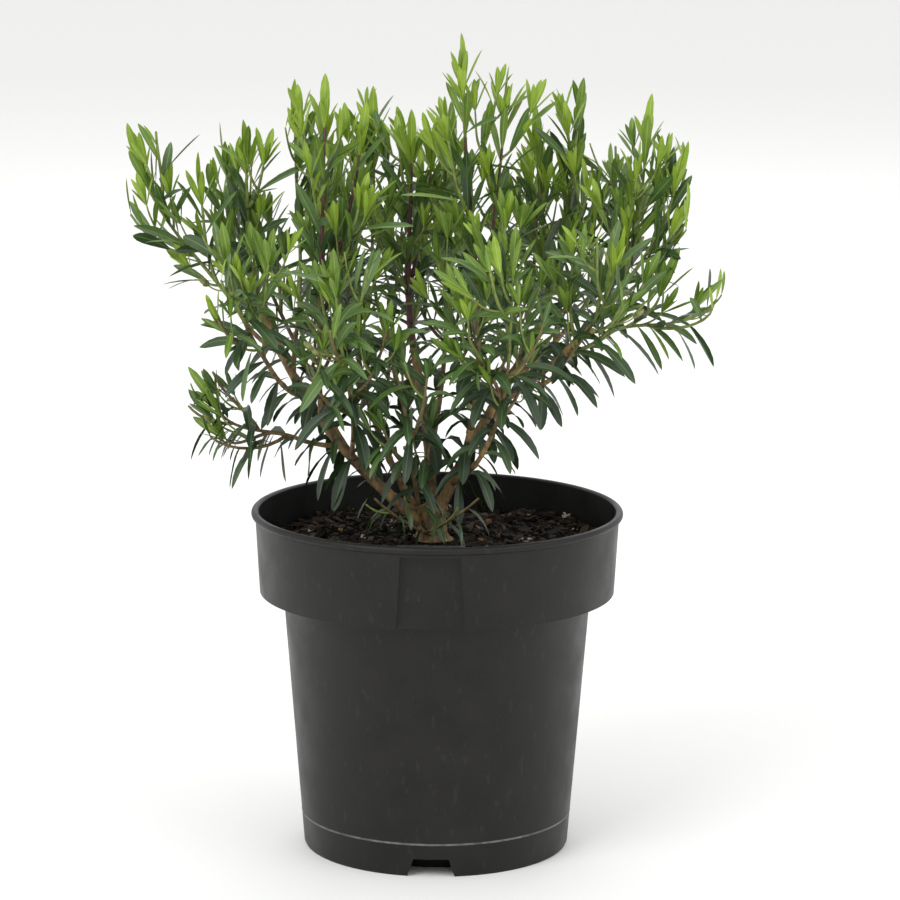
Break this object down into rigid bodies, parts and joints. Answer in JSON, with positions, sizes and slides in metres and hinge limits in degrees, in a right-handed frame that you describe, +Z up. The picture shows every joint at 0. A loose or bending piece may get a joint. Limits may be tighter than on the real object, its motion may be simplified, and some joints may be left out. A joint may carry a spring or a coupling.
{
  "type": "potted emu bush",
  "caption": "Young many-stemmed flowering shrub with narrow pointed leaves, in a round black plastic nursery pot filled with bark potting mix.",
  "frame": {"origin": "middle of the pot's flat underside, on the surface that the pot stands on", "axes": "+Z up along the pot's axis; -Y is the side with the label recess, which faces the camera; +X to the right as seen from there"},
  "size_m": [0.2886, 0.2068, 0.3961],
  "materials": {
    "black_plastic": "matte moulded black plastic with light scuffs",
    "bark_mix": "moist dark bark chips",
    "bark": "brown to tan young bark",
    "foliage": "satin green leaves, yellow-green at the shoot tips"
  },
  "bodies": {
    "root": {"pot": "black_plastic", "potting_mix": "bark_mix", "trunk": "bark", "bough_left": "bark", "bough_right": "bark", "bough_centre": "bark", "bough_front": "bark", "bough_back_left": "bark", "bough_left_low": "bark", "bough_left_upright": "bark", "bough_left_front": "bark", "bough_left_inner": "bark", "bough_left_outer": "bark", "bough_left_back": "bark", "bough_front_left": "bark", "bough_right_inner": "bark", "bough_right_back": "bark", "bough_right_outer": "bark", "bough_right_far_back": "bark", "bough_right_front": "bark", "bough_right_low": "bark", "bough_front_right": "bark", "bough_back": "bark", "bough_centre_back": "bark", "foliage_left_outer": "foliage", "foliage_left": "foliage", "foliage_left_inner": "foliage", "foliage_left_upright": "foliage", "foliage_left_low": "foliage", "foliage_left_front": "foliage", "foliage_left_back": "foliage", "foliage_front_left": "foliage", "foliage_front": "foliage", "foliage_front_right": "foliage", "foliage_top": "foliage", "foliage_right": "foliage", "foliage_right_outer": "foliage", "foliage_right_low": "foliage", "foliage_right_front": "foliage", "foliage_right_far_back": "foliage", "foliage_right_back": "foliage", "foliage_back": "foliage", "foliage_back_left": "foliage", "foliage_centre_back": "foliage", "foliage_centre": "foliage", "foliage_foot": "foliage"}
  },
  "joints": []
}
